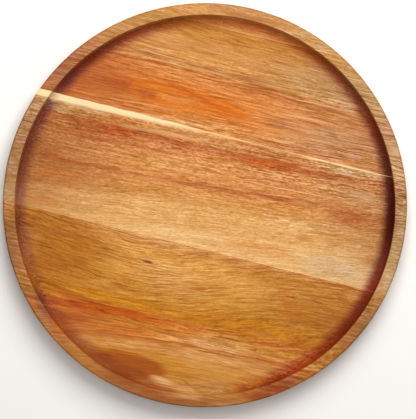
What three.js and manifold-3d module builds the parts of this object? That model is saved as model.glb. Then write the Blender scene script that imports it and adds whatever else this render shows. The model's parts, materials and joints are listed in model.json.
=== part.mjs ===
// Round acacia serving tray: five staves glued edge to edge into a panel, then turned as one blank
// to a low rim, a coved well and an eased underside.
// Millimetres, +Z up. The origin is the centre of the underside. X runs along the grain, and Y runs
// across the staves from the front edge of the tray (-Y) to its rear edge (+Y).

import * as THREE from "three";
import { mergeVertices } from "three/addons/utils/BufferGeometryUtils.js";
import Module from "manifold-3d";

// The turned form
const trayDiameter = 300;
const floorThickness = 10;
const wellDepth = 10;
const rimWidth = 8.8;
const coveRadius = 7;
const rimOuterRound = 1.5;
const rimInnerRound = 0.8;
const baseRound = 4;

// The glued panel: the middle stave is ripped to make up the diameter
const rearEdgeStaveWidth = 18;
const rearStaveWidth = 78;
const frontStaveWidth = 67.7;
const frontEdgeStaveWidth = 49.3;
const glueThickness = 0.2;

// Facets of the turned form
const turnSteps = 120;
const baseRoundSteps = 4;
const rimRoundSteps = 3;
const coveSteps = 6;

// What follows from the sizes above
const trayRadius = trayDiameter / 2;
const trayHeight = floorThickness + wellDepth;
const wellRadius = trayRadius - rimWidth;
const coveInWell = Math.min(coveRadius, wellDepth - rimInnerRound);
const rearWidth = rearEdgeStaveWidth + rearStaveWidth + 2 * glueThickness;
const frontWidth = frontEdgeStaveWidth + frontStaveWidth + 2 * glueThickness;
const middleStaveWidth = trayDiameter - rearWidth - frontWidth;
const sawKerf = 1;
const joinTolerance = 0.0001;

const wasm = await Module();
wasm.setup();

// Points of a round stretch of the profile, about a centre at a radius out and a height up
function arcPoints(out, up, radius, fromDegrees, toDegrees, steps) {
  const points = [];
  for (let step = 0; step <= steps; step += 1) {
    const angle = THREE.MathUtils.degToRad(fromDegrees + ((toDegrees - fromDegrees) * step) / steps);
    points.push(new THREE.Vector2(out + radius * Math.cos(angle), up + radius * Math.sin(angle)));
  }
  return points;
}

// The turner's profile: out along the underside, up the edge, over the rim, down the cove and back
function trayProfile() {
  const underside = new THREE.Vector2(0, 0);
  const base = arcPoints(trayRadius - baseRound, baseRound, baseRound, -90, 0, baseRoundSteps);
  const rimOuter = arcPoints(
    trayRadius - rimOuterRound, trayHeight - rimOuterRound, rimOuterRound, 0, 90, rimRoundSteps,
  );
  const rimInner = arcPoints(
    wellRadius + rimInnerRound, trayHeight - rimInnerRound, rimInnerRound, 90, 180, rimRoundSteps,
  );
  const cove = arcPoints(
    wellRadius - coveInWell, floorThickness + coveInWell, coveInWell, 0, -90, coveSteps,
  );
  const floor = new THREE.Vector2(0, floorThickness);
  return [underside, ...base, ...rimOuter, ...rimInner, ...cove, floor];
}

// A closed geometry as a solid for cutting, without the empty triangles at the turning axis
function solidFrom(geometry) {
  geometry.deleteAttribute("normal");
  geometry.deleteAttribute("uv");
  const merged = mergeVertices(geometry);
  const corners = merged.index.array;
  const triangles = [];
  for (let first = 0; first < corners.length; first += 3) {
    const triangle = [corners[first], corners[first + 1], corners[first + 2]];
    if (new Set(triangle).size === triangle.length) {
      triangles.push(...triangle);
    }
  }
  const vertProperties = merged.attributes.position.array;
  const triVerts = new Uint32Array(triangles);
  return new wasm.Manifold(new wasm.Mesh({ numProp: 3, vertProperties, triVerts }));
}

// A cut solid as a geometry, with the sawn faces laid exactly on the planes where pieces meet
function geometryFrom(solid, frontFace, rearFace) {
  const mesh = solid.getMesh();
  const positions = Float32Array.from(mesh.vertProperties);
  for (let y = 1; y < positions.length; y += 3) {
    for (const face of [frontFace, rearFace]) {
      if (Math.abs(positions[y] - face) < joinTolerance) {
        positions[y] = face;
      }
    }
  }
  const geometry = new THREE.BufferGeometry();
  geometry.setAttribute("position", new THREE.BufferAttribute(positions, 3));
  geometry.setIndex(new THREE.BufferAttribute(Uint32Array.from(mesh.triVerts), 1));
  geometry.computeVertexNormals();
  return geometry;
}

// The whole blank, as it leaves the lathe
function turnedBlank() {
  const geometry = new THREE.LatheGeometry(trayProfile(), turnSteps);
  geometry.rotateX(Math.PI / 2);
  return solidFrom(geometry);
}

// The slice of the blank between two upright planes across the grain's width
function sliceOf(blank, frontFace, rearFace) {
  const slab = new THREE.BoxGeometry(trayDiameter + sawKerf, rearFace - frontFace, trayHeight + sawKerf);
  slab.translate(0, (frontFace + rearFace) / 2, trayHeight / 2);
  return geometryFrom(blank.intersect(solidFrom(slab)), frontFace, rearFace);
}

const oiledWood = { roughness: 0.5, metalness: 0 };
const driedGlue = { color: "#e2c592", roughness: 0.6, metalness: 0 };

// The pieces in the order that they are glued, with the width that each takes
const panel = [
  { name: "rear_edge_stave", width: rearEdgeStaveWidth, finish: { color: "#d0925a", ...oiledWood } },
  { name: "rear_edge_glue_line", width: glueThickness, finish: driedGlue },
  { name: "rear_stave", width: rearStaveWidth, finish: { color: "#c67f3d", ...oiledWood } },
  { name: "rear_glue_line", width: glueThickness, finish: driedGlue },
  { name: "middle_stave", width: middleStaveWidth, finish: { color: "#c88d56", ...oiledWood } },
  { name: "front_glue_line", width: glueThickness, finish: driedGlue },
  { name: "front_stave", width: frontStaveWidth, finish: { color: "#bb8036", ...oiledWood } },
  { name: "front_edge_glue_line", width: glueThickness, finish: driedGlue },
  { name: "front_edge_stave", width: frontEdgeStaveWidth, finish: { color: "#c28746", ...oiledWood } },
];

const tray = new THREE.Group();
tray.name = "serving_tray";
const blank = turnedBlank();
let rearFace = trayRadius;
for (const piece of panel) {
  const frontFace = rearFace - piece.width;
  const material = new THREE.MeshStandardMaterial(piece.finish);
  const mesh = new THREE.Mesh(sliceOf(blank, frontFace, rearFace), material);
  mesh.name = piece.name;
  tray.add(mesh);
  rearFace = frontFace;
}

export default tray;
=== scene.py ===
import json
import math
from typing import NamedTuple

import bmesh
import bpy
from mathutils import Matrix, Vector


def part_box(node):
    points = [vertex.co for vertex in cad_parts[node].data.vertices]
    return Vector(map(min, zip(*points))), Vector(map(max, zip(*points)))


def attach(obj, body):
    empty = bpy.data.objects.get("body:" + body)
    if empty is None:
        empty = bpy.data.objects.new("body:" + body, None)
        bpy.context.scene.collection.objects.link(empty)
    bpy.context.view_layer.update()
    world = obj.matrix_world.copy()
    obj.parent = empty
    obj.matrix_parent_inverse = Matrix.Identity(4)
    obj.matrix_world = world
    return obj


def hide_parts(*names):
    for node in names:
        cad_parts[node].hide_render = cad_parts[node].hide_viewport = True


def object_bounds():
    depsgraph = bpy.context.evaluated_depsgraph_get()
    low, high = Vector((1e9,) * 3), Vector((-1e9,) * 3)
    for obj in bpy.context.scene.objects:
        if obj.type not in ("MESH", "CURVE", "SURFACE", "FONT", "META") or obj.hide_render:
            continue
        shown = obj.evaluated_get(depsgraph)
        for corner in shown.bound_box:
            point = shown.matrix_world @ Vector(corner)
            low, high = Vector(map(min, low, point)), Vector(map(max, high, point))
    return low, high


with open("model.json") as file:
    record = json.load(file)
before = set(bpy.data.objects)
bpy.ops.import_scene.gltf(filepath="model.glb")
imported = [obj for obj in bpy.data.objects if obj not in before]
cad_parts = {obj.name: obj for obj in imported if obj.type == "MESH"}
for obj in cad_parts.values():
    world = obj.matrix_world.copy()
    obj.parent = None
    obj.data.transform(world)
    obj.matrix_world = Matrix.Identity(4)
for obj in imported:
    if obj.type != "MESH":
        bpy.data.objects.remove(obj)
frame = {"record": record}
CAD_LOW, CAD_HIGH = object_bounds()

bl_info = {
    "name": "Acacia serving tray",
    "version": (1, 0, 0),
    "blender": (4, 5, 0),
    "location": "View3D > Sidebar > Tray",
    "description": "Turns an edge-glued acacia tray round its frame and lays it on a pale studio floor",
    "category": "Add Mesh",
}

MM = 0.001

# The picture's frame, where the tray lies in it, and how far the grain falls towards the right
IMAGE_WIDTH_PX = 416
IMAGE_HEIGHT_PX = 419
TRAY_CENTRE_PX = (204.9, 205.16)
TRAY_RADIUS_PX = 202.3
GRAIN_FALL_DEG = 13.9

# Facets of the profile's round stretches, the sharpest corner that is still shaded smooth, and how near
# to a sawn plane, in metres, a corner of the mesh counts as lying on it
BASE_STEPS = 8
RIM_OUTER_STEPS = 6
RIM_INNER_STEPS = 5
COVE_STEPS = 12
SMOOTH_DEG = 35
ON_PLANE = 1e-8


def linear(hex_colour):
    """The linear colour of an sRGB hex value."""
    parts = [int(hex_colour[i:i + 2], 16) / 255 for i in (1, 3, 5)]
    return tuple(c / 12.92 if c <= 0.04045 else ((c + 0.055) / 1.055) ** 2.4 for c in parts)


def mount_height(name):
    """The height of one of the part's flat faces."""
    return next(m["pos_m"][2] for m in frame["record"]["mounts"] if m["name"] == name)


def length_property(label, about, default):
    """A length that a user may change, in metres."""
    return bpy.props.FloatProperty(
        name=label, description=about, default=default, unit="LENGTH", precision=5)


def level_property(label, about, default):
    """A light level that a user may change: 1 lights a matt white card to full white."""
    return bpy.props.FloatProperty(
        name=label, description=about, default=default, subtype="FACTOR", min=0, soft_max=2)


def camera_property(label, about, default):
    """A camera size that a user may change, in millimetres."""
    return bpy.props.FloatProperty(name=label, description=about, default=default, unit="CAMERA")


def tone_property(label, about, hex_colour):
    """A colour that a user may change."""
    return bpy.props.FloatVectorProperty(
        name=label, description=about, default=linear(hex_colour), subtype="COLOR", size=3, min=0, max=1)


class TrayForm(bpy.types.PropertyGroup):
    """The sizes of the turned tray."""

    radius: length_property("Radius", "Outside radius of the tray", (CAD_HIGH.x - CAD_LOW.x) / 2)
    height: length_property("Height", "Height of the rim above the table", CAD_HIGH.z - CAD_LOW.z)
    floor: length_property("Floor", "Height of the well's floor", mount_height("serving_floor"))
    rim_width: length_property("Rim width", "Width of the flat rim", 8.8 * MM)
    cove: length_property("Cove", "Radius of the cove between wall and floor", 7 * MM)
    rim_outer_round: length_property("Outer edge", "Round on the rim's outer edge", 1.5 * MM)
    rim_inner_round: length_property("Inner edge", "Round on the rim's inner edge", 0.5 * MM)
    base_round: length_property("Base edge", "Round on the underside's edge", 4 * MM)
    turn_steps: bpy.props.IntProperty(
        name="Turn steps", description="Facets round the tray", default=360, min=24)
    ring_steps: bpy.props.IntProperty(
        name="Rings", description="Rings across the floor and the underside", default=6, min=1)


class WoodTones(bpy.types.PropertyGroup):
    """The tones of oiled acacia that the staves are painted with."""

    sapwood: tone_property("Sapwood", "Cream sapwood on a stave's edge", "#F6E2AC")
    pale: tone_property("Pale", "Pale pinkish wood next to the sapwood", "#DFB98E")
    cream: tone_property("Cream", "Light cream-tan wood", "#F5C386")
    sand: tone_property("Sand", "Light tan wood", "#EBB372")
    camel: tone_property("Camel", "Warm tan wood", "#DC9A56")
    tan: tone_property("Tan", "Tan wood", "#CC8A4A")
    blush: tone_property("Blush", "Pinkish tan wood", "#C89268")
    peach: tone_property("Peach", "Reddish tan wood", "#E09858")
    rose: tone_property("Rose", "Reddish brown wood", "#D2864C")
    taupe: tone_property("Taupe", "Greyish tan wood", "#C09664")
    straw: tone_property("Straw", "Light golden wood", "#E0A04E")
    honey: tone_property("Honey", "Honey brown wood", "#D29252")
    brass: tone_property("Brass", "Dull golden brown wood", "#C8863A")
    golden: tone_property("Golden", "Golden brown wood", "#D28E36")
    bronze: tone_property("Bronze", "Deep golden brown wood", "#CE841E")
    amber: tone_property("Amber", "Amber brown wood", "#BC7018")
    olive: tone_property("Olive", "Olive brown wood", "#AA6824")
    orange: tone_property("Orange", "Orange heartwood", "#DE8A44")
    flame: tone_property("Flame", "Brightest orange heartwood", "#DC761C")
    copper: tone_property("Copper", "Brownish orange heartwood", "#CA7630")
    rust: tone_property("Rust", "Reddest orange heartwood", "#C85E12")
    brown: tone_property("Brown", "Brown heartwood", "#A46030")
    russet: tone_property("Russet", "Red-brown heartwood", "#AE5222")
    maroon: tone_property("Maroon", "Darkest red heartwood", "#94401A")
    purple: tone_property("Purple", "Purple-brown growth lines", "#8C5434")
    plum: tone_property("Plum", "Plum-brown end grain on the wall", "#7A3A3A")
    knot: tone_property("Knot", "Heart of a small knot", "#744608")
    cathedral: tone_property("Cathedral", "Dark patch where a growth layer is cut flat", "#A85412")
    # Paler tone on the rim's top: partly wear, partly painted sheen
    worn: tone_property("Worn", "Handled wood on top of the rim", "#C0A682")


class StudioLook(bpy.types.PropertyGroup):
    """The floor, the light and the camera."""

    floor_tone: tone_property("Floor", "Pale matt floor", "#FEFDF9")
    room_tone: tone_property("Room", "Light that comes from all round", "#FFFDF8")
    floor_reach: length_property("Floor reach", "From the tray to the floor's edge", 8.0)
    room_level: level_property("Room light", "Light from all round", 0.18)
    top_level: level_property("Top light", "Light from overhead", 0.30)
    top_distance: length_property("Top distance", "From the tray to the top light", 8.0)
    top_size: length_property("Top size", "Side of the top light", 6.4)
    key_level: level_property("Key light", "Light from the side", 0.92)
    key_distance: length_property("Key distance", "From the tray to the key light", 1.15)
    key_size: length_property("Key size", "Side of the key light", 0.85)
    key_turn: bpy.props.FloatProperty(
        name="Key turn", description="Key light's bearing, from the picture's right", subtype="ANGLE",
        default=math.radians(72))
    key_rise: bpy.props.FloatProperty(
        name="Key rise", description="Key light's angle above the floor", subtype="ANGLE",
        default=math.radians(52))
    lens_mm: camera_property("Lens", "Focal length", 200)
    sensor_mm: camera_property("Sensor", "Sensor's long side", 36)


class Streak(NamedTuple):
    """A patch or line of one tone on a stave, in millimetres: how strong it is, where its middle lies, how
    far it runs along and across the grain, and how it slopes, bends and fades towards its edge."""

    tone: str
    strength: float
    x: float
    y: float
    half_length: float
    half_width: float
    slope: float = 0.0
    bend: float = 0.0
    softness: float = 0.8


def haze(*place, **run):
    """A streak that fades all the way from its middle to its edge."""
    return Streak(*place, softness=1.0, **run)


class Figure(NamedTuple):
    """How one stave's wood is drawn: bands of tone across it, each with its place and the contrast of its
    grain; soft streaks, crisp lines and sapwood over them; how its grain slopes, fans out, bends, rolls and
    wobbles; how strongly its marks show and swell along it; and how much wear and painted sheen pale its
    rim's top."""

    seed: float
    bands: tuple
    streaks: tuple
    crisp: tuple = ()
    sapwood: tuple = ()
    swell: float = 0.0
    slope: float = 0.0
    fan: float = 0.0
    fan_from: float = 0.0
    bend: float = 0.0
    roll: float = 0.0
    roll_from: float = 0.0
    roll_fade: tuple = (0.0, 1.0)
    drift: float = 0.0
    fibre_mm: float = 10.0
    fibre_wide_mm: float = 0.8
    bundles: float = 1.3
    fibres: float = 1.9
    specks: float = 0.9
    dark_lines: float = 0.6
    light_lines: float = 0.5
    wobble_mm: float = 2.4
    pores: float = 0.35
    worn: float = 0.10


# Rear edge stave
REAR_EDGE_STREAKS = (
    Streak("copper", 0.45, -25, 144, 22, 2.5),
    Streak("taupe", 0.5, 40, 143, 22, 9),
    Streak("taupe", 0.7, 60, 138, 16, 7),
    Streak("copper", 0.4, 22, 145.5, 14, 4),
)
REAR_EDGE_LINES = (
    Streak("sand", 0.35, -20.5, 136.2, 0.9, 5),
    Streak("brown", 0.6, 0, 142.9, 46, 2.3),
    # This sand line at the wall's top edge is painted light: it lightens the wall where it lies in shade
    Streak("sand", 0.5, -14, 139.6, 20, 1.5),
)
REAR_EDGE_FIGURE = Figure(
    seed=3.0,
    bands=((132, "camel", 0.9), (138, "camel", 0.9), (144, "camel", 0.9), (150, "tan", 0.9)),
    streaks=REAR_EDGE_STREAKS, crisp=REAR_EDGE_LINES,
    worn=0.2,
)

# Rear stave
REAR_STREAKS = (
    haze("russet", 0.85, -125, 80, 85, 55),
    Streak("purple", 0.5, -122, 68, 9, 16),
    Streak("maroon", 0.4, -134, 80, 13, 28),
    Streak("russet", 0.3, -117, 91.5, 12, 10),
    haze("taupe", 0.95, 80, 108, 88, 27),
    haze("blush", 0.95, 90, 72, 80, 30),
    Streak("taupe", 0.6, 132, 78, 32, 46, softness=0.9),
    Streak("taupe", 0.4, 88, 94, 18, 6),
    Streak("pale", 0.35, 127, 79, 10, 11),
    Streak("pale", 0.3, 109, 100, 10, 9),
    haze("brown", 0.5, 124, 88, 60, 30),
    haze("brown", 0.2, 60, 108, 62, 20),
    haze("brown", 0.25, -50, 97, 52, 4),
    haze("brown", 0.6, 8, 99.8, 42, 5),
    haze("brown", 0.45, -67, 100, 34, 4.5),
    Streak("brown", 0.5, 121, 57, 10, 7),
    haze("brown", 0.2, -20, 89.5, 70, 5),
    haze("brown", 0.45, 38, 90.8, 58, 7, slope=-0.03),
    Streak("purple", 0.35, 38, 72.5, 16, 5),
    Streak("blush", 0.7, 85, 60, 48, 7),
    Streak("rose", 0.5, 85, 57, 45, 4),
    Streak("flame", 0.85, -38, 73.5, 62, 10, softness=0.3),
    Streak("orange", 0.75, -36, 71.5, 22, 4.5),
    Streak("flame", 0.7, 2, 72.2, 22, 5.5, softness=0.6),
    Streak("rust", 0.75, -10, 73.6, 17, 3.8),
    Streak("russet", 0.75, -84, 71.5, 22, 8.5),
    Streak("russet", 0.75, -62, 71, 13, 6),
    Streak("russet", 0.3, -72, 60, 26, 6),
    Streak("rust", 0.6, -28, 77.8, 42, 2.6, slope=-0.17),
    Streak("sand", 0.45, -25, 57, 40, 1.8, slope=0.03),
    Streak("copper", 0.6, 35, 57, 30, 1.6),
    Streak("russet", 0.3, 50, 56, 40, 4),
    Streak("purple", 0.5, 80, 73.5, 9, 1.6, bend=-0.03),
)
REAR_LINES = (
    Streak("russet", 0.65, -40, 94.6, 60, 1, slope=-0.012),
    Streak("russet", 0.65, 48, 92.2, 56, 0.9, slope=-0.03),
    Streak("sand", 0.7, -52, 96.6, 46, 0.7),
    Streak("brown", 0.6, -28, 99.2, 36, 0.8, slope=-0.02),
    Streak("cream", 0.6, -60, 101.2, 32, 0.6, slope=-0.045),
    Streak("brown", 0.55, -62, 102.8, 28, 0.7, slope=-0.06),
    Streak("cream", 0.6, -62, 105, 28, 0.7, slope=-0.05),
    Streak("sand", 0.5, -20, 97.6, 30, 0.6, slope=-0.03),
    Streak("brown", 0.5, 22, 96.2, 40, 0.7, slope=-0.02),
    Streak("sand", 0.5, 30, 98.2, 40, 0.6, slope=-0.02),
    Streak("sand", 0.5, -50, 88.5, 30, 0.6, slope=-0.1),
    Streak("russet", 0.5, -75, 60.5, 46, 0.8, slope=0.06),
    Streak("sand", 0.45, -60, 62.4, 40, 0.6, slope=0.06),
    Streak("brown", 0.45, 10, 63.5, 40, 0.7, slope=0.05),
    Streak("sand", 0.45, 30, 60, 46, 0.6, slope=0.03),
    Streak("brown", 0.45, 60, 58, 40, 0.7, slope=0.02),
    Streak("purple", 0.55, 92, 60.5, 24, 0.7),
    Streak("sand", 0.45, 88, 62.5, 26, 0.6),
    Streak("purple", 0.5, 92, 64.5, 20, 0.6),
    Streak("purple", 0.45, 70, 68, 30, 0.6, slope=0.02),
    Streak("sand", 0.4, 72, 66.4, 30, 0.6, slope=0.02),
    Streak("purple", 0.45, 60, 83.5, 36, 0.7, slope=-0.03),
    Streak("sand", 0.45, 62, 81.6, 34, 0.6, slope=-0.03),
    Streak("purple", 0.4, 78, 77.5, 28, 0.6),
    Streak("brown", 0.55, 10, 99.9, 42, 2),
    Streak("brown", 0.7, 80, 91, 34, 2.4, slope=-0.05),
    Streak("brown", 0.6, 10, 94, 13, 1.6),
    Streak("pale", 0.45, 110, 96.8, 10, 2.3),
    Streak("pale", 0.5, 130, 73, 12, 5),
    Streak("sand", 0.45, 50, 65, 13, 2.2),
    Streak("brown", 0.5, 58, 59.2, 18, 1.5, slope=-0.1),
    Streak("russet", 0.4, -8, 86.3, 32, 1.6),
    Streak("russet", 0.4, -84, 79, 20, 2.4),
    Streak("russet", 0.45, -110, 95.4, 12, 2.6),
    Streak("russet", 0.4, -90, 101.5, 12, 2.4),
    Streak("sand", 0.4, 88, 76, 13, 1.8),
    Streak("sand", 0.35, 38, 78.2, 18, 1.5),
    Streak("brown", 0.5, 30, 56, 13, 1.5),
    Streak("brown", 0.4, 110, 56.2, 11, 1.6),
    Streak("cream", 0.6, 4, 131.7, 36, 0.9),
    Streak("cream", 0.8, 56, 131.8, 14, 1.1),
)
REAR_SAPWOOD = (
    Streak("sapwood", 0.95, -150, 53.7, 165, 1.2, softness=0.3),
)
REAR_FIGURE = Figure(
    seed=11.0,
    bands=(
        (54, "peach", 1.8), (58, "peach", 1.8), (63, "orange", 1.5), (68, "orange", 1.1),
        (74, "orange", 1.0), (80, "orange", 1.1), (86, "orange", 1.45), (91, "orange", 1.7),
        (95, "peach", 1.8), (99, "honey", 1.6), (104, "camel", 1.35), (110, "honey", 1.1),
        (116, "honey", 0.95), (123, "brass", 1.0), (131, "brass", 1.0),
    ),
    streaks=REAR_STREAKS, crisp=REAR_LINES, sapwood=REAR_SAPWOOD,
    swell=0.003, slope=0.025, fan=-0.0008, fan_from=78, fibre_mm=14, fibre_wide_mm=0.7, specks=0.7,
    light_lines=0.35, worn=0.25,
)

# Middle stave
MIDDLE_STREAKS = (
    # The two wide brown hazes are partly wood tone and partly painted shade: the stave darkens towards both
    # ends, as the light falls off from the middle
    haze("brown", 0.9, -150, 8, 112, 80),
    haze("brown", 0.65, 152, 12, 95, 75),
    Streak("maroon", 0.6, 138, 28, 9, 34),
    Streak("rust", 0.7, 138, -26, 10, 14),
    Streak("taupe", 0.7, 147, 15, 6, 50, softness=0.6),
    Streak("taupe", 0.7, -118, 47.5, 42, 4.5),
    Streak("sand", 0.25, -112, 47.5, 34, 4),
    Streak("taupe", 0.5, -122, 44, 16, 5),
    Streak("pale", 0.7, 99, 50.2, 42, 4.2),
    haze("taupe", 0.4, 106, 32, 64, 20),
    haze("brown", 0.2, 105, 38, 46, 9),
    haze("rose", 0.8, 54, 28.5, 44, 9),
    haze("brown", 0.3, 46, 29, 24, 4),
    Streak("brown", 0.25, 124, 42, 8, 14),
    Streak("brown", 0.35, 130, 20, 8, 12),
    Streak("brown", 0.4, 130, -12, 8, 16),
    Streak("brown", 0.6, 92, 43.6, 30, 2.6),
    Streak("russet", 0.35, 34, 47, 28, 3),
    Streak("rose", 0.75, 40, 51, 36, 4),
    Streak("brown", 0.35, 48, 51.5, 40, 3.5),
    Streak("russet", 0.3, -78, 46.5, 26, 3),
    Streak("russet", 0.62, -60, 39.8, 78, 4.8, slope=0.012),
    Streak("russet", 0.62, 45, 42.2, 82, 4.8, slope=0.022),
    Streak("rust", 0.8, -78, 38.6, 19, 4.2, slope=0.04),
    Streak("rust", 0.8, 34, 40.8, 27, 4, slope=0.03),
    Streak("russet", 0.5, -85, 33.5, 38, 4),
    Streak("russet", 0.6, -97, 28.8, 42, 2.8),
    Streak("brown", 0.4, -114, 28, 18, 4),
    Streak("sand", 0.6, -35, 23, 36, 6, slope=0.05),
    Streak("russet", 0.6, -88, 8.5, 54, 3, slope=0.045),
    Streak("russet", 0.52, 2, 14.2, 84, 3.6, slope=0.075),
    Streak("russet", 0.65, 60, 18.4, 44, 3.2, slope=0.05),
    Streak("russet", 0.5, -112, 7, 30, 3.4, slope=0.03),
    Streak("sand", 0.5, -5, 7, 26, 3, slope=0.06),
    Streak("russet", 0.65, 108, 17, 28, 9),
    Streak("copper", 0.5, -110, -4, 30, 6),
    Streak("copper", 0.4, -119, -26, 20, 5),
    Streak("cream", 0.5, 62, 3.5, 22, 4),
    Streak("cream", 0.5, -6, -26, 54, 7),
    Streak("orange", 0.5, 44, -22, 44, 8),
    Streak("camel", 0.4, 16, -26, 20, 5),
    Streak("pale", 0.85, 108, -23, 46, 14),
    Streak("copper", 0.5, 78, -6, 10, 4),
    Streak("copper", 0.45, 101, -5, 8, 3),
    Streak("sand", 0.7, -95, -15, 38, 4.5, slope=0.03),
    Streak("sand", 0.5, -85, -29, 40, 3),
)
MIDDLE_LINES = (
    Streak("russet", 0.3, -60, 40.4, 76, 1.2, slope=0.012),
    Streak("russet", 0.3, 45, 43.4, 80, 1.2, slope=0.022),
    Streak("russet", 0.25, 2, 14.4, 80, 1.2, slope=0.075),
    Streak("russet", 0.45, -95, 29.8, 42, 0.9, slope=0.01),
    Streak("cream", 0.6, 45, 34.8, 36, 0.7, slope=0.06),
    Streak("cream", 0.65, 60, 26, 64, 0.7, slope=0.045),
    Streak("cream", 0.4, -20, 21, 40, 0.6, slope=0.05),
    Streak("cream", 0.4, 60, -4, 40, 0.7, slope=0.09),
    Streak("cream", 0.45, 48, 4, 22, 0.8, slope=0.06),
    Streak("brown", 0.35, 105, 14, 22, 0.6, slope=0.03),
    Streak("brown", 0.35, 104, 11, 20, 0.6, slope=0.03),
    Streak("brown", 0.35, 98, 8.5, 24, 0.6, slope=0.03),
    Streak("brown", 0.5, 13, -27, 3.4, 0.7),
    Streak("sand", 0.6, -36, 45.1, 46, 2.6, slope=0.04),
    Streak("brown", 0.4, -20, 49.3, 52, 2.2),
    Streak("russet", 0.6, -52, 30.9, 50, 2.2, slope=0.035),
    Streak("maroon", 0.5, -108, 38, 20, 2.6),
    Streak("russet", 0.5, 34, 19.4, 22, 2.4),
    Streak("sand", 0.4, 70, 19.2, 12, 2.2),
    Streak("sand", 0.4, -30, 16, 11, 1.5),
    Streak("pale", 0.55, 98, 47.6, 20, 1.9),
    Streak("russet", 0.55, 42, 43.9, 40, 2),
    Streak("pale", 0.35, 112, 34.5, 24, 4.6),
    Streak("brown", 0.3, 86, 4.6, 26, 3),
    Streak("sand", 0.4, -70, 42.6, 14, 1.8),
    Streak("sand", 0.4, -70, 24.3, 13, 1.7),
    Streak("brown", 0.4, 10, 28.2, 12, 1.5),
    Streak("pale", 0.4, 90, -28, 11, 1.7),
)
MIDDLE_SAPWOOD = (
    Streak("sapwood", 0.95, -150, 54.6, 165, 5.9, softness=0.3),
    Streak("cream", 0.85, 0, 53.3, 30, 1.2, softness=0.6),
    Streak("cream", 0.35, 40, 53.3, 40, 1, softness=0.6),
    Streak("sapwood", 0.76, 94, 53.5, 38, 1.2, softness=0.5),
    Streak("pale", 0.45, -112, 48.8, 34, 1.6),
    Streak("cream", 0.35, -100, 52.6, 34, 0.5),
    Streak("cream", 0.35, -66, 51.8, 40, 0.5, slope=0.02),
    haze("cream", 0.45, -90, 50.4, 62, 1.4),
    Streak("cream", 0.7, -128, 52, 5, 6),
)
MIDDLE_FIGURE = Figure(
    seed=23.0,
    bands=(
        (-32, "cream", 0.62), (-26, "cream", 0.66), (-16, "sand", 0.72), (-6, "sand", 0.85),
        (4, "camel", 1.0), (9, "peach", 1.1), (14, "peach", 1.1), (20, "peach", 1.15),
        (26, "peach", 1.4), (32, "peach", 1.55), (38, "rose", 1.75), (43, "rose", 1.75),
        (47, "tan", 1.8), (53, "peach", 1.6),
    ),
    streaks=MIDDLE_STREAKS, crisp=MIDDLE_LINES, sapwood=MIDDLE_SAPWOOD,
    swell=0.0036, slope=0.075, fan=-0.0015, fan_from=20, bend=0.0004, fibre_mm=9, fibre_wide_mm=0.75,
    bundles=1.2, fibres=1.7, specks=1.3, pores=0.5, light_lines=0.25, worn=0.4,
)

# Front stave
FRONT_STREAKS = (
    Streak("amber", 0.9, -118, -56, 74, 42, softness=0.6),
    haze("olive", 0.6, -140, -62, 90, 62),
    haze("olive", 0.9, 145, -58, 118, 58),
    Streak("rose", 0.5, -125, -66, 15, 34),
    Streak("purple", 0.8, -134, -76, 16, 34),
    Streak("purple", 0.4, 138, -58, 14, 36),
    Streak("russet", 0.35, 127, -70, 10, 14),
    Streak("purple", 0.35, -113, -89, 10, 8, slope=-1),
    Streak("purple", 0.5, -135, -47, 8, 11),
    haze("amber", 0.6, 56, -39.5, 68, 9),
    Streak("amber", 0.4, 114, -46, 14, 8),
    Streak("brown", 0.35, -122, -50, 9, 11),
    haze("amber", 0.55, -76, -52, 26, 18),
    Streak("sand", 0.35, -15, -54, 44, 9),
    Streak("straw", 0.4, -26, -62, 18, 5),
    Streak("sand", 0.5, -8, -65, 42, 8),
    Streak("flame", 0.5, -8, -94, 50, 5),
    Streak("rust", 0.95, -55, -93, 66, 7.2, slope=0.03),
    Streak("rust", 0.7, -85, -99, 26, 6, slope=0.03),
    Streak("maroon", 0.35, -82, -94.5, 20, 4),
    Streak("plum", 0.6, -100, -97.5, 12, 6, slope=-1),
    Streak("maroon", 0.4, -72, -95, 26, 1.2, slope=0.13),
    Streak("straw", 0.5, 34, -66, 24, 7),
    haze("straw", 0.4, -5, -76, 28, 9),
    Streak("bronze", 0.75, 66, -79, 36, 9),
    Streak("straw", 0.55, 38, -91.5, 28, 4),
    haze("amber", 0.75, 88, -58, 46, 16),
    Streak("copper", 0.5, 76, -52, 14, 10, slope=-0.5),
    Streak("golden", 0.5, 113, -49, 9, 4),
    Streak("sand", 0.4, 42, -97, 40, 4),
    Streak("sand", 0.6, 34, -99.5, 38, 4.5),
    Streak("rust", 0.5, -55, -99, 24, 3),
    Streak("tan", 0.45, 86, -98, 11, 4),
    Streak("brown", 0.6, -30.6, -51.2, 8.5, 1.3),
)
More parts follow.
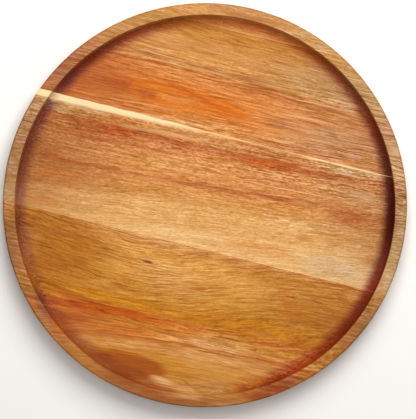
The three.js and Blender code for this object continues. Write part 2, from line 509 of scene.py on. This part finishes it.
FRONT_LINES = (
    Streak("brown", 0.45, 20, -36.8, 44, 0.7, slope=0.02),
    Streak("maroon", 0.6, -108, -97.6, 8, 1.2),
    Streak("russet", 0.5, -84, -36.5, 18, 0.9, slope=-0.02),
    Streak("russet", 0.4, -40, -35, 26, 0.6),
    Streak("brown", 0.4, 60, -35.5, 34, 0.6),
    Streak("brown", 0.4, -30, -38.4, 26, 0.6, slope=0.02),
    Streak("russet", 0.4, -82, -45, 26, 0.8, slope=-0.13),
    Streak("russet", 0.4, -47, -74, 10, 3.4),
    Streak("russet", 0.65, -46, -72.8, 14, 0.7, slope=0.03),
    Streak("russet", 0.65, -42, -74.8, 15, 0.7, slope=0.02),
    Streak("russet", 0.5, -42, -76.5, 12, 0.6, slope=0.02),
    Streak("brown", 0.6, -43, -70.6, 5, 0.7),
    Streak("brown", 0.5, -21, -67.5, 4, 2),
    Streak("brown", 0.6, -28, -37.2, 12, 0.8, slope=0.01),
    Streak("brown", 0.45, -18, -54.2, 22, 0.6, slope=-0.01),
    Streak("brown", 0.45, -22, -56.2, 18, 0.6, slope=0.01),
    Streak("brown", 0.5, -15, -64.5, 17, 0.7, slope=0.22),
    Streak("brown", 0.45, -12, -82, 14, 0.7, slope=0.08),
    Streak("brown", 0.5, 60, -72, 38, 0.7, slope=0.17),
    Streak("brown", 0.5, 83, -89.5, 14, 0.7),
    Streak("sand", 0.45, 46, -93.5, 44, 0.7, slope=0.02),
    Streak("purple", 0.75, 106, -57.5, 18, 1),
    Streak("purple", 0.65, 104, -60.2, 16, 0.8),
    Streak("purple", 0.5, 108, -63, 14, 0.7),
    Streak("russet", 0.55, -84, -89, 20, 3.4),
    Streak("russet", 0.6, -64, -99.4, 22, 1.8),
    Streak("brown", 0.55, 36, -97.6, 19, 1.7),
    Streak("sand", 0.5, 74, -98.6, 16, 1.8),
    Streak("straw", 0.5, -10, -43, 14, 2),
    Streak("brown", 0.3, 64, -82, 22, 3.6),
    Streak("maroon", 0.5, -100, -97.4, 15, 2.4),
    Streak("brown", 0.45, -58, -77.8, 16, 2),
    Streak("russet", 0.4, 128, -74, 9, 3.4),
    Streak("straw", 0.4, -50, -53.8, 12, 1.6),
    Streak("knot", 0.95, -30.8, -51.2, 6.2, 1.6, softness=0.9),
)
FRONT_FIGURE = Figure(
    seed=37.0,
    bands=(
        (-101, "copper", 1.2), (-97, "golden", 1.25), (-92, "copper", 1.3),
        (-86, "bronze", 1.25), (-80, "bronze", 1.1), (-74, "golden", 1.1), (-66, "golden", 1.0),
        (-58, "straw", 1.0), (-50, "straw", 1.15), (-43, "straw", 1.25),
        (-37, "camel", 1.3), (-33, "camel", 1.3),
    ),
    streaks=FRONT_STREAKS, crisp=FRONT_LINES,
    slope=0.03, roll=7.3, roll_from=-32, roll_fade=(-102, -66), drift=0.05,
    fibre_mm=12, fibre_wide_mm=0.7, bundles=0.9, fibres=2.1, specks=0.8, dark_lines=0.8, worn=0.15,
)

# Front edge stave
FRONT_EDGE_STREAKS = (
    Streak("flame", 0.5, -10, -103.5, 50, 5),
    Streak("straw", 0.7, 2, -103.5, 34, 4.5),
    Streak("sand", 0.75, 34, -101.5, 40, 4),
    Streak("russet", 0.75, -78, -104, 25, 8),
    haze("brown", 0.6, -108, -108, 34, 16),
    haze("russet", 0.45, 104, -114, 32, 14),
    Streak("sand", 0.4, 34, -115, 40, 10),
    haze("amber", 0.25, 74, -110, 28, 10),
    haze("taupe", 0.4, 36, -128, 26, 8),
    haze("olive", 0.45, 14, -127.5, 15, 4.5),
    Streak("russet", 0.6, 89, -121, 26, 10.5),
    Streak("russet", 0.7, 85, -115.5, 21, 6, slope=0.68, softness=0.6),
    Streak("russet", 0.8, 71, -125, 22, 5, softness=0.6),
    Streak("plum", 0.6, -100, -97.5, 12, 6, slope=-1),
    haze("russet", 0.5, -76, -118, 13, 6),
    Streak("copper", 0.6, -58, -113, 22, 4),
    Streak("brown", 0.5, -70, -126, 26, 10),
    Streak("brown", 0.4, -82, -117, 14, 5, slope=-0.67),
    Streak("taupe", 0.4, -95, -107, 9, 6, slope=-0.85),
    Streak("cathedral", 0.95, -27, -129.5, 36, 11.5, softness=0.35),
    Streak("tan", 0.8, -49, -133.2, 26, 5, slope=-0.34),
    # This brown band follows the well's edge along the bottom and darkens rim and wall there: partly wood
    # tone, partly painted shade of the light falling off towards the bottom
    Streak("brown", 0.8, 0, -142.5, 75, 5, bend=0.0034, softness=0.6),
    Streak("russet", 0.5, -4, -140.5, 11, 4.5),
    Streak("maroon", 0.75, 83, -114.5, 24, 7.5, slope=0.7, softness=0.7),
    Streak("brown", 0.4, 55, -131, 12, 5, slope=0.4),
    Streak("sand", 0.6, 20, -137, 16, 3.4),
    Streak("cream", 0.95, 1, -134.6, 14, 3.6, softness=0.7),
)
FRONT_EDGE_LINES = (
    Streak("cathedral", 0.65, 8, -104.7, 92, 0.95, slope=0.0655, bend=-0.0006, softness=0.6),
    Streak("sand", 0.45, 50, -107.6, 56, 0.8, slope=0.02, bend=-0.0003),
    Streak("sand", 0.6, 26, -102.6, 16, 1.9),
    Streak("brown", 0.45, 62, -105.8, 22, 2),
    Streak("sand", 0.45, 68, -111.8, 14, 3),
    Streak("sand", 0.4, 10, -110, 13, 1.6),
    Streak("brown", 0.4, -50, -112, 12, 1.6),
    haze("knot", 0.4, 10, -130.2, 6, 0.9),
    haze("knot", 0.55, 18, -131.6, 6, 1.1, slope=-0.35, bend=-0.02),
    haze("knot", 0.45, 25, -132, 6, 1, slope=0.3, bend=-0.02),
    haze("knot", 0.4, 26, -134.4, 6, 0.9),
    haze("knot", 0.45, 31, -132.2, 5, 1, slope=0.3, bend=0.02),
    haze("knot", 0.4, 37, -131.4, 7, 0.9, slope=0.1),
    Streak("russet", 0.5, -18, -140.2, 30, 1.2, slope=-0.1, bend=0.0025),
    Streak("maroon", 0.5, -7, -144.2, 10, 0.8, slope=0.26),
)
FRONT_EDGE_FIGURE = Figure(
    seed=41.0,
    bands=(
        (-150, "brown", 0.7), (-140, "tan", 0.7), (-128, "golden", 0.65), (-118, "golden", 0.7),
        (-110, "camel", 1.2), (-105, "copper", 1.5), (-100, "copper", 1.4),
    ),
    streaks=FRONT_EDGE_STREAKS, crisp=FRONT_EDGE_LINES,
    swell=0.008, slope=0.09, bend=-0.0008, fibre_mm=14, fibre_wide_mm=0.8, bundles=1.3, fibres=1.6,
    specks=0.5, worn=0.03,
)

STAVES = {
    "rear_edge_stave": REAR_EDGE_FIGURE,
    "rear_stave": REAR_FIGURE,
    "middle_stave": MIDDLE_FIGURE,
    "front_stave": FRONT_FIGURE,
    "front_edge_stave": FRONT_EDGE_FIGURE,
}
GLUE_LINES = ("rear_edge_glue_line", "rear_glue_line", "front_glue_line", "front_edge_glue_line")
GLUE_TONES = ((-100, "copper"), (-33, "brown"), (54, "sapwood"), (132, "camel"))

# Clouds of sanding dust in the glue
DUST_LONG_MM = 16.7
DUST_WIDE_MM = 1.11

# The run of the grain: how far growth layers lean for each millimetre of depth, how far they sway, how far
# edges of tone fray, how far crisp lines wobble and fray, and how long the wave is that fibres roll in
LEAN = 0.35
SWAY_MM = 6.0
FRAY_MM = 5.0
LINE_WOBBLE_MM = 1.2
LINE_FRAY_MM = 1.0
ROLL_WAVE_MM = 270

# A fade that eases in and out
EASED = {"interpolation_type": "SMOOTHSTEP"}

# Where patterns, which run from about -0.3 to 0.3, fade in: growth lines, the patches where those show,
# open pores, and the fibres that stand up
LINE_EDGE = 0.045
PATCH_FADE = (-0.1, 0.12)
PORE_FADE = (0.12, 0.3)
FIBRE_RANGE = (-0.2, 0.2)

# What one measure of stain lets through: it takes blue most and red least. Oil is a fifth of a measure, and
# no fibre is paler than bare wood, which is neared over half a measure.
STAIN = "#D4BC88"
OIL = 0.2
BARE = -0.6
BARE_BLEND = 0.5

# Where tints end, in millimetres: the rim's top skin for its wear and painted sheen; the wall about the
# well's edge, the cove about its foot and the floor below its face for the wall's oil and painted shade; and
# the outer corner about the tray's edge for its painted shade
RIM_SKIN_MM = 0.4
WALL_FADE_MM = (-0.6, 0.3)
COVE_FADE_MM = (-4.5, 3.5)
FLOOR_SKIN_MM = 1
CORNER_SHADE_FADE_MM = (-2.0, -0.2)

# How much more the grain shows where it is raised, on the rim
RAISED_GRAIN = 0.15

# How the wall of the well is tinted round the tray, by bearing in degrees from the grain's right-hand end:
# partly oil that end grain holds, partly painted shade, darkest where the wall faces away from the key light
WALL_OIL_AND_SHADE_TINTS = (
    (-180, "#BCA8D4"), (-166, "#C0ACE0"), (-143, "#DACEFF"), (-121, "#D0B6BE"), (-76, "#F0F4F4"),
    (-50, "#D89C9C"), (-31, "#B87484"), (14, "#744858"), (59, "#D29A98"), (82, "#F6CCBC"), (104, "#F6D0BE"),
    (128, "#C890A8"), (138, "#B48CB0"), (149, "#B8A2FA"), (180, "#BCA8D4"),
)
# Painted shade on the rounded outer corner
CORNER_SHADE_TINT = "#E2E0E2"
UNTINTED = (1, 1, 1, 1)

# How far the centre of the wall's tint, oil and painted shade, lies off the tray's centre, in millimetres
WALL_OIL_AND_SHADE_OFF = (0.3, -0.6, 0)


# Shared mesh code

def arc(out, up, radius, from_deg, to_deg, steps):
    """Points of a round stretch of the profile, as radius and height."""
    angles = [math.radians(from_deg + (to_deg - from_deg) * i / steps) for i in range(steps + 1)]
    return [(out + radius * math.cos(a), up + radius * math.sin(a)) for a in angles]


def turned_profile(form):
    """The turner's profile from the axis below, round the rim, to the axis above."""
    well = form.radius - form.rim_width
    base_edge = form.radius - form.base_round
    floor_edge = well - form.cove
    underside = [(base_edge * i / form.ring_steps, 0.0) for i in range(form.ring_steps)]
    base = arc(base_edge, form.base_round, form.base_round, -90, 0, BASE_STEPS)
    outer, inner = form.rim_outer_round, form.rim_inner_round
    rim_outer = arc(form.radius - outer, form.height - outer, outer, 0, 90, RIM_OUTER_STEPS)
    rim_inner = arc(well + inner, form.height - inner, inner, 90, 180, RIM_INNER_STEPS)
    cove = arc(floor_edge, form.floor + form.cove, form.cove, 0, -90, COVE_STEPS)
    floor = [(floor_edge * i / form.ring_steps, form.floor) for i in reversed(range(form.ring_steps))]
    return underside + base + rim_outer + rim_inner + cove + floor


def turned_blank(form):
    """The whole tray as one closed mesh, before it is parted at its joints."""
    mesh = bmesh.new()
    rings = []
    for out, up in turned_profile(form):
        steps = form.turn_steps if out > 0 else 1
        turns = [2 * math.pi * i / form.turn_steps for i in range(steps)]
        rings.append([mesh.verts.new((out * math.cos(t), out * math.sin(t), up)) for t in turns])
    for lower, upper in zip(rings, rings[1:]):
        for i in range(form.turn_steps):
            j = (i + 1) % form.turn_steps
            corners = [lower[i % len(lower)], lower[j % len(lower)],
                       upper[j % len(upper)], upper[i % len(upper)]]
            mesh.faces.new(list(dict.fromkeys(corners)))
    return mesh


def part_at(mesh, y, keep_rear):
    """Saws the blank at a joint plane and closes the cut."""
    everything = mesh.verts[:] + mesh.edges[:] + mesh.faces[:]
    cut = bmesh.ops.bisect_plane(
        mesh, geom=everything, dist=ON_PLANE, plane_co=(0, y, 0), plane_no=(0, 1, 0),
        clear_outer=not keep_rear, clear_inner=keep_rear)
    edges = [e for e in cut["geom_cut"] if isinstance(e, bmesh.types.BMEdge)]
    bmesh.ops.holes_fill(mesh, edges=edges)


def put_in_scene(data):
    """Puts an object with this data, and with its name, into the scene."""
    thing = bpy.data.objects.new(data.name, data)
    bpy.context.scene.collection.objects.link(thing)
    return thing


def turned_piece(node, form):
    """One stave or glue line of the turned tray, standing for its frame node. It is sawn where it meets the
    next piece, and not where it ends at the tray's edge."""
    low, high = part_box(node)
    mesh = turned_blank(form)
    if high[1] < CAD_HIGH.y - MM:
        part_at(mesh, high[1], keep_rear=False)
    if low[1] > CAD_LOW.y + MM:
        part_at(mesh, low[1], keep_rear=True)
    bmesh.ops.recalc_face_normals(mesh, faces=mesh.faces[:])
    data = bpy.data.meshes.new("turned_" + node)
    mesh.to_mesh(data)
    mesh.free()
    data.shade_smooth()
    data.set_sharp_from_angle(angle=math.radians(SMOOTH_DEG))
    piece = put_in_scene(data)
    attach(piece, "root")
    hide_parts(node)
    return piece


# Shared material code

def add(tree, kind, inputs=None, **settings):
    """Adds a shader node with its settings, and sets its inputs or links them to sockets. A node given as an
    input stands for its first output."""
    node = tree.nodes.new("ShaderNode" + kind)
    for name, value in settings.items():
        setattr(node, name, value)
    for socket, value in (inputs or {}).items():
        source = value.outputs[0] if isinstance(value, bpy.types.Node) else value
        if isinstance(source, bpy.types.NodeSocket):
            tree.links.new(source, node.inputs[socket])
        else:
            node.inputs[socket].default_value = source
    return node


def fill_ramp(node, stops):
    """Gives a colour ramp its stops, each a place and a colour, with eased steps between them."""
    node.color_ramp.interpolation = "EASE"
    elements = node.color_ramp.elements
    while len(elements) < len(stops):
        elements.new(1.0)
    for element, (place, colour) in zip(elements, stops):
        element.position = place
        element.color = colour


def streak_group():
    """A node group that gives how much of a streak lies at a place: its strength in the middle, 0 past its
    edge. Its inputs are the place along and across the grain, and the streak's own numbers."""
    name = "wood streak"
    if name in bpy.data.node_groups:
        return bpy.data.node_groups[name]
    tree = bpy.data.node_groups.new(name, "ShaderNodeTree")
    for label in ("along", "across", *Streak._fields[1:]):
        tree.interface.new_socket(name=label, in_out="INPUT", socket_type="NodeSocketFloat")
    tree.interface.new_socket(name="share", in_out="OUTPUT", socket_type="NodeSocketFloat")
    given = tree.nodes.new("NodeGroupInput").outputs
    run = add(tree, "Math", {0: given["along"], 1: given["x"]}, operation="SUBTRACT")
    lean = add(tree, "Math", {0: given["bend"], 1: run, 2: given["slope"]}, operation="MULTIPLY_ADD")
    line = add(tree, "Math", {0: lean, 1: run, 2: given["y"]}, operation="MULTIPLY_ADD")
    off = add(tree, "Math", {0: given["across"], 1: line}, operation="SUBTRACT")
    ahead = add(tree, "Math", {0: run, 1: given["half_length"]}, operation="DIVIDE")
    aside = add(tree, "Math", {0: off, 1: given["half_width"]}, operation="DIVIDE")
    place = add(tree, "CombineXYZ", {0: ahead, 1: aside})
    reach = add(tree, "VectorMath", {0: place}, operation="LENGTH").outputs["Value"]
    inner = add(tree, "Math", {0: 1.0, 1: given["softness"]}, operation="SUBTRACT")
    share = add(tree, "MapRange", {"Value": reach, "From Min": inner, "From Max": 1.0,
                                   "To Min": given["strength"], "To Max": 0.0}, **EASED)
    tree.links.new(share.outputs[0], tree.nodes.new("NodeGroupOutput").inputs["share"])
    return tree


def acacia(name, figure, tones, form):
    """Acacia, sanded and oiled: open-grained heartwood whose tone shifts across the grain from cream through
    gold to red brown, with fine dark pore lines along it. Oil leaves it satin and darkens end grain most. The
    wall of the well is darkened by oil and by painted shade, the rim's top is paled by wear and a painted
    sheen, and the outer corner carries painted shade."""
    material = bpy.data.materials.new(name)
    material.use_nodes = True
    tree = material.node_tree
    tree.nodes.clear()
    coordinates = add(tree, "TexCoord").outputs
    millimetres = add(tree, "VectorMath", {0: coordinates["Object"], "Scale": 1 / MM}, operation="SCALE")
    axes = add(tree, "SeparateXYZ", {0: millimetres}).outputs
    along, across, up = axes["X"], axes["Y"], axes["Z"]

    def total(start, *terms):
        """A value with others added to it, each times its weight."""
        for value, weight in terms:
            start = add(tree, "Math", {0: value, 1: weight, 2: start}, operation="MULTIPLY_ADD")
        return start

    def pattern(at, long_mm, wide_mm, shift, detail=0.0):
        """A soft random pattern about zero, whose marks are so many millimetres long and wide."""
        scale = (1 / long_mm, 1 / wide_mm, 1 / wide_mm)
        offset = (figure.seed, shift, shift)
        place = add(tree, "VectorMath", {0: at, 1: scale, 2: offset}, operation="MULTIPLY_ADD")
        noise = add(tree, "TexNoise", {"Vector": place, "Scale": 1.0, "Detail": detail})
        return total(-0.5, (noise, 1.0))

    def streaked(colour, streaks, at):
        """A colour with streaks laid over it, each at its place along the grain and across it."""
        for streak in streaks:
            given = {"along": along, "across": at, **streak._asdict()}
            tone = (*getattr(tones, given.pop("tone")), 1)
            share = add(tree, "Group", given, node_tree=streak_group())
            colour = add(tree, "Mix", {0: share, 6: colour, 7: tone}, data_type="RGBA").outputs[2]
        return colour

    # The growth layers lean through the thickness, so the underside shows them shifted. They sway by a
    # millimetre or two over a hand's breadth and wobble by half a millimetre over a finger's breadth.
    sway = pattern(millimetres, 90, 24, shift=1, detail=2.0)
    wobble = pattern(millimetres, 18, 5, shift=9, detail=1.0)
    layer = total(across, (up, LEAN), (-LEAN * form.floor / MM, 1.0), (sway, SWAY_MM),
                  (wobble, figure.wobble_mm))

    # Where this stave's layers slope, fan out or bend, the coordinate across them is straightened
    rate = total(figure.slope - figure.fan * figure.fan_from, (layer, figure.fan), (along, figure.bend / 2))
    rise = add(tree, "Math", {0: rate, 1: along}, operation="MULTIPLY")
    banded = total(layer, (rise, -1.0))

    # Round a knot the fibres roll in a wave that dies out towards the stave's front
    straight = banded
    if figure.roll:
        radians_per_mm = 2 * math.pi / ROLL_WAVE_MM
        turn = total(-figure.roll_from * radians_per_mm, (along, radians_per_mm))
        wave = add(tree, "Math", {0: turn}, operation="COSINE")
        level = figure.roll * math.cos(figure.roll_from * radians_per_mm)
        rolled = total(level, (wave, -figure.roll), (along, figure.drift))
        gone, full = figure.roll_fade
        fade = add(tree, "MapRange", {"Value": layer, "From Min": gone, "From Max": full,
                                      "To Min": 0.0, "To Max": -1.0}, **EASED)
        straight = total(banded, (rolled, fade))
    grain_at = add(tree, "CombineXYZ", {0: along, 1: straight, 2: up})

    # Fibre bundles about 1 mm wide, drawn at that width because finer ones are lost in the picture
    bundles = pattern(grain_at, 55, 1.3, shift=2, detail=2.0)
    fibres = pattern(grain_at, figure.fibre_mm, figure.fibre_wide_mm, shift=3, detail=1.0)
    specks = pattern(grain_at, 2.4, 0.7, shift=4)

    # Tones across the stave, with edges that fray along the fibre bundles. A ramp's alpha stops at 1, so it
    # holds half of each band's contrast.
    low, high = figure.bands[0][0], figure.bands[-1][0]
    frayed = total(banded, (bundles, FRAY_MM))
    place = add(tree, "MapRange", {"Value": frayed, "From Min": low, "From Max": high})
    ramp = add(tree, "ValToRGB", {"Fac": place})
    fill_ramp(ramp, [((y - low) / (high - low), (*getattr(tones, tone), contrast / 2))
                     for y, tone, contrast in figure.bands])
    contrast = total(0.0, (ramp.outputs["Alpha"], total(2.0, (along, figure.swell))))

    # Streaks and patches lie where they do on this stave, and fray too
    colour = streaked(ramp.outputs["Color"], figure.streaks, total(layer, (bundles, FRAY_MM)))

    # The rim's top is paled towards a greyish tan, partly wear from handling and partly painted sheen, and
    # its grain is raised
    on_rim = add(tree, "Math", {0: up, 1: form.height / MM - RIM_SKIN_MM}, operation="GREATER_THAN")
    worn = total(0.0, (on_rim, figure.worn))
    colour = add(tree, "Mix", {0: worn, 6: colour, 7: (*tones.worn, 1)}, data_type="RGBA").outputs[2]
    contrast = total(contrast, (contrast, total(0.0, (on_rim, RAISED_GRAIN))))

    # How deep the wood is stained, first by bundles, fibres and specks
    depth = total(0.0, (bundles, -figure.bundles), (fibres, -figure.fibres), (specks, -figure.specks))

    # Growth lines: crisp threads 0.6 mm wide and 70 mm long, dark ones and light ones, that come and go
    for shift, strength in ((5, figure.dark_lines), (15, -figure.light_lines)):
        thread = add(tree, "Math", {0: pattern(grain_at, 70, 2.6, shift, detail=1.0)}, operation="ABSOLUTE")
        thread = add(tree, "MapRange", {"Value": thread, "From Min": 0.0, "From Max": LINE_EDGE,
                                        "To Min": strength, "To Max": 0.0}, **EASED)
        patch = pattern(grain_at, 40, 9, shift + 1)
        patch = add(tree, "MapRange", {"Value": patch, "From Min": PATCH_FADE[0], "From Max": PATCH_FADE[1]},
                    **EASED)
        depth = total(depth, (thread, patch))

    # Open pores, short dark dashes drawn 0.6 mm wide, because real ones are too fine to show
    pores = add(tree, "MapRange", {"Value": pattern(grain_at, 4.5, 0.6, shift=7), "From Min": PORE_FADE[0],
                                   "From Max": PORE_FADE[1]}, **EASED)
    depth = total(depth, (pores, figure.pores))

    # All of that lies about the depth that oil gives, and the crisp lines lie over the stained wood
    depth = total(OIL, (depth, contrast))
    depth = add(tree, "Math", {0: depth, 1: BARE, 2: BARE_BLEND}, operation="SMOOTH_MAX")
    stain = add(tree, "VectorMath", {0: linear(STAIN), 1: depth}, operation="POWER")
    colour = add(tree, "VectorMath", {0: colour, 1: stain}, operation="MULTIPLY")
    line_at = total(across, (wobble, LINE_WOBBLE_MM), (bundles, LINE_FRAY_MM))
    colour = streaked(colour, figure.crisp, line_at)

    # The wall and cove of the well are tinted by bearing: partly oil, held most on end grain where the wall
    # faces along the grain, and partly painted shade where the wall faces away from the key light
    flat = add(tree, "VectorMath", {0: millimetres, 1: (1, 1, 0)}, operation="MULTIPLY")
    reach = add(tree, "VectorMath", {0: flat}, operation="LENGTH").outputs["Value"]
    cut = add(tree, "VectorMath", {0: flat, 1: WALL_OIL_AND_SHADE_OFF}, operation="DISTANCE").outputs["Value"]
    bearing = add(tree, "Math", {0: across, 1: along}, operation="ARCTAN2")
    oil_and_shade_ring = add(tree, "ValToRGB", {"Fac": total(0.5, (bearing, 1 / (2 * math.pi)))})
    fill_ramp(oil_and_shade_ring, [(degrees / 360 + 0.5, (*linear(tint), 1)) for degrees, tint in WALL_OIL_AND_SHADE_TINTS])
    well = (form.radius - form.rim_width) / MM
    inside = add(tree, "MapRange", {"Value": cut, "From Min": well + WALL_FADE_MM[0],
                                    "From Max": well + WALL_FADE_MM[1], "To Min": 1.0, "To Max": 0.0},
                 **EASED)
    above = add(tree, "Math", {0: up, 1: form.floor / MM - FLOOR_SKIN_MM}, operation="GREATER_THAN")
    foot = well - form.cove / MM
    # oiled holds the share of the wall's tint, oil and painted shade, that fades in about the cove's foot
    oiled = add(tree, "MapRange", {"Value": reach, "From Min": foot + COVE_FADE_MM[0],
                                   "From Max": foot + COVE_FADE_MM[1]}, **EASED)
    for part in (inside, above):
        oiled = add(tree, "Math", {0: oiled, 1: part}, operation="MULTIPLY")
    wall = add(tree, "Mix", {0: oiled, 6: UNTINTED, 7: oil_and_shade_ring}, data_type="RGBA").outputs[2]
    colour = add(tree, "VectorMath", {0: colour, 1: wall}, operation="MULTIPLY")

    # Painted shade: the rounded outer corner is darkened where it turns away from the light
    edge = form.radius / MM
    corner = add(tree, "MapRange", {"Value": reach, "From Min": edge + CORNER_SHADE_FADE_MM[0],
                                    "From Max": edge + CORNER_SHADE_FADE_MM[1]}, **EASED)
    tint = (*linear(CORNER_SHADE_TINT), 1)
    corner_shade = add(tree, "Mix", {0: corner, 6: UNTINTED, 7: tint}, data_type="RGBA").outputs[2]
    colour = add(tree, "VectorMath", {0: colour, 1: corner_shade}, operation="MULTIPLY")

    # Sapwood takes up no oil, so it stays cream on the wall and the rim too: it is laid over the wall's
    # painted shade, the rim's painted sheen and the corner's painted shade
    colour = streaked(colour, figure.sapwood, line_at)

    # Satin oil, rougher where fibres stand up, with a relief of a few hundredths of a millimetre
    rough = add(tree, "MapRange", {"Value": fibres, "From Min": FIBRE_RANGE[0], "From Max": FIBRE_RANGE[1],
                                   "To Min": 0.46, "To Max": 0.60})
    relief = total(fibres, (pores, -0.3))
    bump = add(tree, "Bump", {"Height": relief, "Strength": 0.25, "Distance": 0.05 * MM})
    shader = add(tree, "BsdfPrincipled", {
        "Base Color": colour, "Roughness": rough, "Normal": bump, "IOR": 1.45, "Specular IOR Level": 0.12})
    add(tree, "OutputMaterial", {"Surface": shader})
    return material


def cured_glue(tones):
    """Wood glue, cured and sanded flush: a hair of resin, stained by the oil towards the wood beside each
    joint and cloudy where dust is caught in it."""
    material = bpy.data.materials.new("wood glue, cured and sanded flush")
    material.use_nodes = True
    tree = material.node_tree
    tree.nodes.clear()
    place = add(tree, "TexCoord").outputs["Object"]
    scale = (1 / (DUST_LONG_MM * MM), 1 / (DUST_WIDE_MM * MM), 1 / (DUST_WIDE_MM * MM))
    dust_at = add(tree, "VectorMath", {0: place, 1: scale}, operation="MULTIPLY")
    dust = add(tree, "TexNoise", {"Vector": dust_at, "Scale": 1.0, "Detail": 2.0})
    low, high = GLUE_TONES[0][0], GLUE_TONES[-1][0]
    across = add(tree, "SeparateXYZ", {0: place}).outputs["Y"]
    line = add(tree, "MapRange", {"Value": across, "From Min": low * MM, "From Max": high * MM})
    resin = add(tree, "ValToRGB", {"Fac": line})
    fill_ramp(resin, [((y - low) / (high - low), (*getattr(tones, tone), 1)) for y, tone in GLUE_TONES])
    cloud = add(tree, "MapRange", {"Value": dust, "To Max": 0.3})
    colour = add(tree, "Mix", {0: cloud, 6: resin, 7: (*tones.tan, 1)}, data_type="RGBA").outputs[2]
    shader = add(tree, "BsdfPrincipled", {
        "Base Color": colour, "Roughness": 0.5, "IOR": 1.47, "Specular IOR Level": 0.25})
    add(tree, "OutputMaterial", {"Surface": shader})
    return material


# Shared stage code

def lay_floor(look):
    """A pale matt floor, wide enough to fill a low view."""
    reach = look.floor_reach
    data = bpy.data.meshes.new("studio_floor")
    corners = [(-reach, -reach, 0), (reach, -reach, 0), (reach, reach, 0), (-reach, reach, 0)]
    data.from_pydata(corners, [], [(0, 1, 2, 3)])
    floor = put_in_scene(data)
    # Paper, matt and white: it scatters light evenly and shows no shine
    material = bpy.data.materials.new("paper, matt and white")
    material.use_nodes = True
    shader = material.node_tree.nodes["Principled BSDF"]
    shader.inputs["Base Color"].default_value = (*look.floor_tone, 1)
    shader.inputs["Roughness"].default_value = 0.9
    shader.inputs["Specular IOR Level"].default_value = 0.0
    data.materials.append(material)


def light_room(look):
    """Even light from all round."""
    world = bpy.data.worlds.new("studio_room")
    world.use_nodes = True
    background = world.node_tree.nodes["Background"]
    background.inputs["Color"].default_value = (*look.room_tone, 1)
    background.inputs["Strength"].default_value = look.room_level
    bpy.context.scene.world = world


def hang_light(name, towards, distance, size, level):
    """A square softbox that lights a matt white card facing it to about the given level."""
    data = bpy.data.lights.new(name, "AREA")
    data.shape = "SQUARE"
    data.size = size
    data.energy = level * math.pi ** 2 * distance ** 2
    lamp = put_in_scene(data)
    lamp.location = towards.normalized() * distance
    lamp.rotation_euler = towards.to_track_quat("Z", "Y").to_euler()
    lamp.visible_camera = False


def aim_camera(look, form, right, picture_up, roll):
    """A long lens straight over the tray, turned and set off centre as in the picture."""
    data = bpy.data.cameras.new("camera")
    data.lens = look.lens_mm
    data.sensor_width = look.sensor_mm
    pixel = form.radius / TRAY_RADIUS_PX
    long_side = max(IMAGE_WIDTH_PX, IMAGE_HEIGHT_PX)
    distance = pixel * long_side * look.lens_mm / look.sensor_mm
    camera = put_in_scene(data)
    right_px = IMAGE_WIDTH_PX / 2 - TRAY_CENTRE_PX[0]
    up_px = TRAY_CENTRE_PX[1] - IMAGE_HEIGHT_PX / 2
    offset = right * right_px + picture_up * up_px
    camera.location = offset * pixel + Vector((0, 0, form.height + distance))
    camera.rotation_euler = (0, 0, roll)
    bpy.context.scene.camera = camera


# Operators

class TRAY_OT_staves(bpy.types.Operator):
    """Turn the five acacia staves, each with its own figure"""

    bl_idname = "tray.staves"
    bl_label = "Turn staves"

    def execute(self, context):
        form, tones = context.scene.tray_form, context.scene.tray_tones
        for node, figure in STAVES.items():
            piece = turned_piece(node, form)
            name = "acacia, sanded and oiled, " + node.replace("_", " ")
            piece.data.materials.append(acacia(name, figure, tones, form))
        return {"FINISHED"}


class TRAY_OT_glue_lines(bpy.types.Operator):
    """Lay the cured glue between the staves"""

    bl_idname = "tray.glue_lines"
    bl_label = "Lay glue lines"

    def execute(self, context):
        glue = cured_glue(context.scene.tray_tones)
        for node in GLUE_LINES:
            piece = turned_piece(node, context.scene.tray_form)
            piece.data.materials.append(glue)
        return {"FINISHED"}


class TRAY_OT_stage(bpy.types.Operator):
    """Set the pale floor, the soft lights and the camera over the tray"""

    bl_idname = "tray.stage"
    bl_label = "Set the stage"

    def execute(self, context):
        look, form = context.scene.tray_look, context.scene.tray_form
        context.scene.view_settings.view_transform = "Standard"
        lay_floor(look)
        light_room(look)
        roll = math.radians(GRAIN_FALL_DEG)
        right = Vector((math.cos(roll), math.sin(roll), 0))
        picture_up = Vector((-math.sin(roll), math.cos(roll), 0))
        bearing = right * math.cos(look.key_turn) + picture_up * math.sin(look.key_turn)
        towards_key = bearing * math.cos(look.key_rise)
        towards_key.z = math.sin(look.key_rise)
        overhead = Vector((0, 0, 1))
        hang_light("key_softbox", towards_key, look.key_distance, look.key_size, look.key_level)
        hang_light("top_softbox", overhead, look.top_distance, look.top_size, look.top_level)
        aim_camera(look, form, right, picture_up, roll)
        return {"FINISHED"}


class TRAY_PT_panel(bpy.types.Panel):
    """Lists the tray's operators and settings"""

    bl_idname = "TRAY_PT_panel"
    bl_label = "Serving tray"
    bl_space_type = "VIEW_3D"
    bl_region_type = "UI"
    bl_category = "Tray"

    def draw(self, context):
        for operator in OPERATORS:
            self.layout.operator(operator.bl_idname)
        for group, cls in GROUPS.items():
            for name in cls.__annotations__:
                self.layout.prop(getattr(context.scene, group), name)


GROUPS = {"tray_form": TrayForm, "tray_tones": WoodTones, "tray_look": StudioLook}
OPERATORS = (TRAY_OT_staves, TRAY_OT_glue_lines, TRAY_OT_stage)
CLASSES = (*GROUPS.values(), *OPERATORS, TRAY_PT_panel)


def register():
    """Makes the settings, the operators and the panel known to Blender."""
    for cls in CLASSES:
        bpy.utils.register_class(cls)
    for name, cls in GROUPS.items():
        setattr(bpy.types.Scene, name, bpy.props.PointerProperty(type=cls))


def unregister():
    """Takes them away again."""
    for name in GROUPS:
        delattr(bpy.types.Scene, name)
    for cls in reversed(CLASSES):
        bpy.utils.unregister_class(cls)


def main():
    """Builds the tray and its stage."""
    register()
    bpy.ops.tray.staves()
    bpy.ops.tray.glue_lines()
    bpy.ops.tray.stage()


if __name__ == "__main__":
    main()
